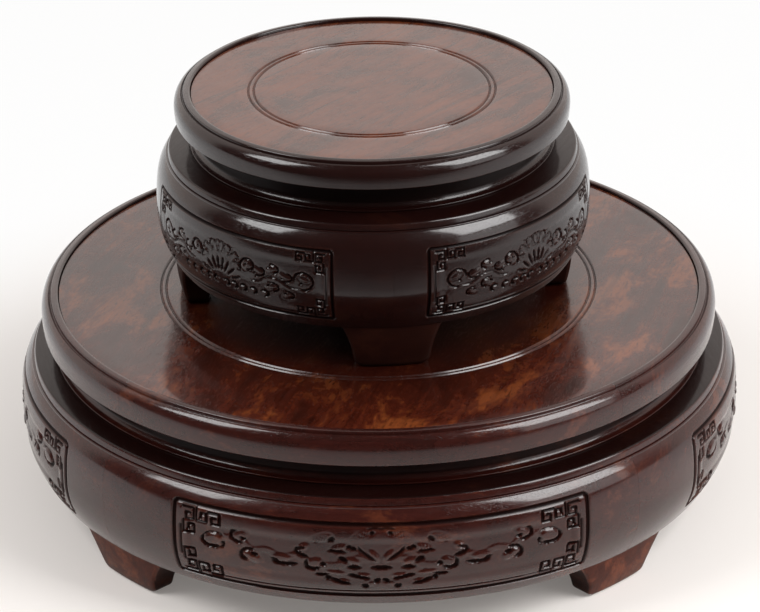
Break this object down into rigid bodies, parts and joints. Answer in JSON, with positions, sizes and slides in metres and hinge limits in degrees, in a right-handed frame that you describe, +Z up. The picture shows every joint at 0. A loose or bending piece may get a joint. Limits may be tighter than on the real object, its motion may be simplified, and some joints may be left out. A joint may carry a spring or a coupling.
{
  "type": "tiered round display stand",
  "caption": "Round tiered display stand in dark carved wood: framed round tops on coved waists, drum-bellied carved aprons and short tapered feet; the small tier lifts off.",
  "frame": {"origin": "on the floor at the vertical axis of the large lower stand", "axes": "+Z up along the axis of the large stand; -Y towards the viewer of the picture; +X to the viewer's right"},
  "size_m": [0.3754, 0.3754, 0.2201],
  "materials": {
    "body_wood": "dark lacquered rosewood, semi-gloss",
    "panel_wood": "dark lacquered rosewood, figured, glossy",
    "foot_wood": "dark reddish rosewood, satin",
    "hidden_wood": "unfinished planed hardwood"
  },
  "bodies": {
    "lower_stand": {"lower_top_panel": "panel_wood", "lower_batten": "hidden_wood", "lower_waist": "body_wood", "lower_rim_segment_1": "body_wood", "lower_shoulder_segment_1": "body_wood", "lower_apron_segment_1": "body_wood", "lower_foot_1": "foot_wood", "lower_rim_segment_2": "body_wood", "lower_shoulder_segment_2": "body_wood", "lower_apron_segment_2": "body_wood", "lower_foot_2": "foot_wood", "lower_rim_segment_3": "body_wood", "lower_shoulder_segment_3": "body_wood", "lower_apron_segment_3": "body_wood", "lower_foot_3": "foot_wood", "lower_rim_segment_4": "body_wood", "lower_shoulder_segment_4": "body_wood", "lower_apron_segment_4": "body_wood", "lower_foot_4": "foot_wood"},
    "upper_stand": {"upper_top_panel": "panel_wood", "upper_batten": "hidden_wood", "upper_waist": "body_wood", "upper_rim_segment_1": "body_wood", "upper_shoulder_segment_1": "body_wood", "upper_apron_segment_1": "body_wood", "upper_foot_1": "foot_wood", "upper_rim_segment_2": "body_wood", "upper_shoulder_segment_2": "body_wood", "upper_apron_segment_2": "body_wood", "upper_foot_2": "foot_wood", "upper_rim_segment_3": "body_wood", "upper_shoulder_segment_3": "body_wood", "upper_apron_segment_3": "body_wood", "upper_foot_3": "foot_wood", "upper_rim_segment_4": "body_wood", "upper_shoulder_segment_4": "body_wood", "upper_apron_segment_4": "body_wood", "upper_foot_4": "foot_wood"}
  },
  "joints": [
    {"name": "upper_lift", "type": "slide", "parent": "lower_stand", "child": "upper_stand", "axis": [0, 0, 1], "range_m": [0, 0.12]}
  ]
}
